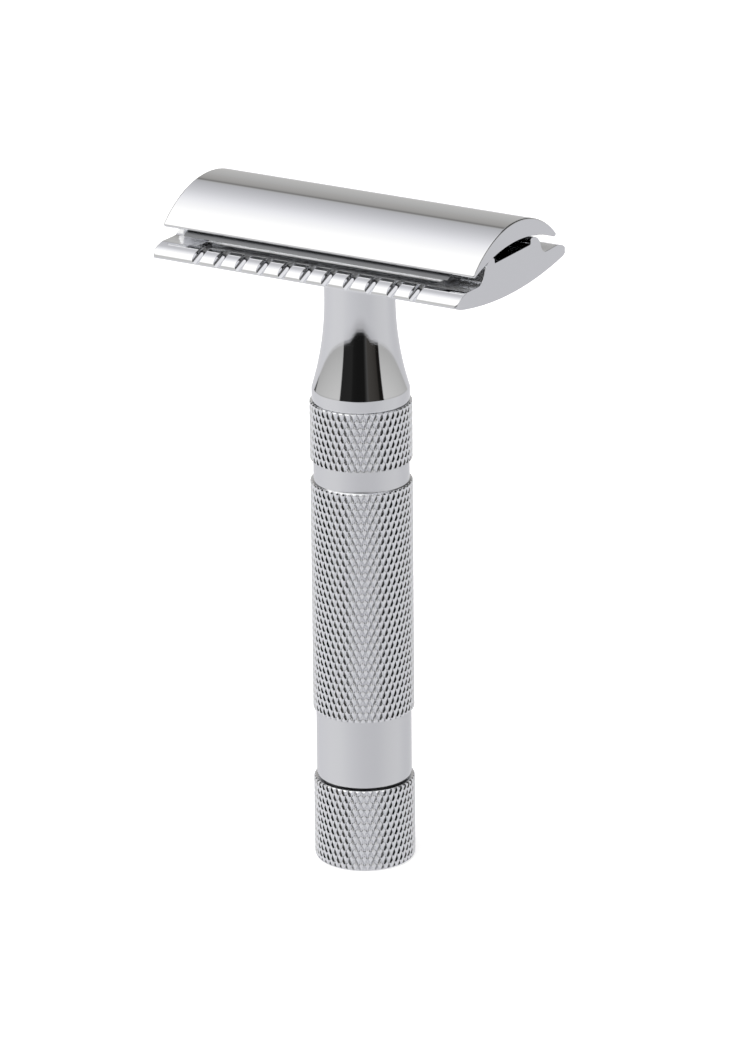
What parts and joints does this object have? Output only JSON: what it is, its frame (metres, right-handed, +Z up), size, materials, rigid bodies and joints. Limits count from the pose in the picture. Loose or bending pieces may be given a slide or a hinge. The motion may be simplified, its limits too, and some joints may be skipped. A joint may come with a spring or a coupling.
{
  "type": "safety razor",
  "caption": "Double-edge safety razor with an arched cap, scalloped safety bars, flared neck, knurled handle and a twist knob that raises the cap.",
  "frame": {"origin": "centre of the flat lower end of the knob, on the handle axis", "axes": "+Z up the handle towards the cap, +X along the length of the head, -Y towards the front safety bar"},
  "size_m": [0.0438, 0.0266, 0.0865],
  "materials": {
    "chrome_plate": "bright chrome plate over a polished casting",
    "satin_chrome": "satin chrome plate, fine turned lines",
    "knurled_chrome": "chrome plate over diamond knurling",
    "blade_steel": "thin rolled stainless strip with ground edges",
    "plain_steel": "turned stainless steel",
    "brass": "turned brass",
    "seal_rubber": "matt black nitrile rubber",
    "black_acetal": "matt black acetal"
  },
  "bodies": {
    "handle": {"base_plate": "chrome_plate", "neck": "satin_chrome", "grip_tube": "knurled_chrome", "upper_bush": "brass", "lower_bush": "brass", "rod_seal": "seal_rubber", "thrust_washer": "brass", "wave_washer": "plain_steel", "knob_washer": "black_acetal"},
    "knob_drive": {"knob": "knurled_chrome", "knob_screw": "plain_steel", "draw_rod": "plain_steel", "socket_nut": "brass", "retaining_clip": "plain_steel"},
    "cap_unit": {"top_cap": "chrome_plate", "cap_stud": "plain_steel", "cap_guide_pins": "chrome_plate"},
    "blade_unit": {"blade": "blade_steel"}
  },
  "joints": [
    {"name": "knob_twist", "type": "hinge", "parent": "handle", "child": "knob_drive", "pos_m": [0, 0, 0.016], "axis": [0, 0, -1], "range_deg": [0, 2520]},
    {"name": "cap_lift", "type": "slide", "parent": "handle", "child": "cap_unit", "axis": [0, 0, 1], "range_m": [0, 0.00561]},
    {"name": "blade_lift", "type": "slide", "parent": "handle", "child": "blade_unit", "axis": [0, 0, 1], "range_m": [0, 0.00282]}
  ],
  "couplings": [
    {"joint": "cap_lift", "follows": "knob_twist", "m_per_rad": 0.00012732},
    {"joint": "blade_lift", "follows": "knob_twist", "m_per_rad": 0.000063662}
  ]
}
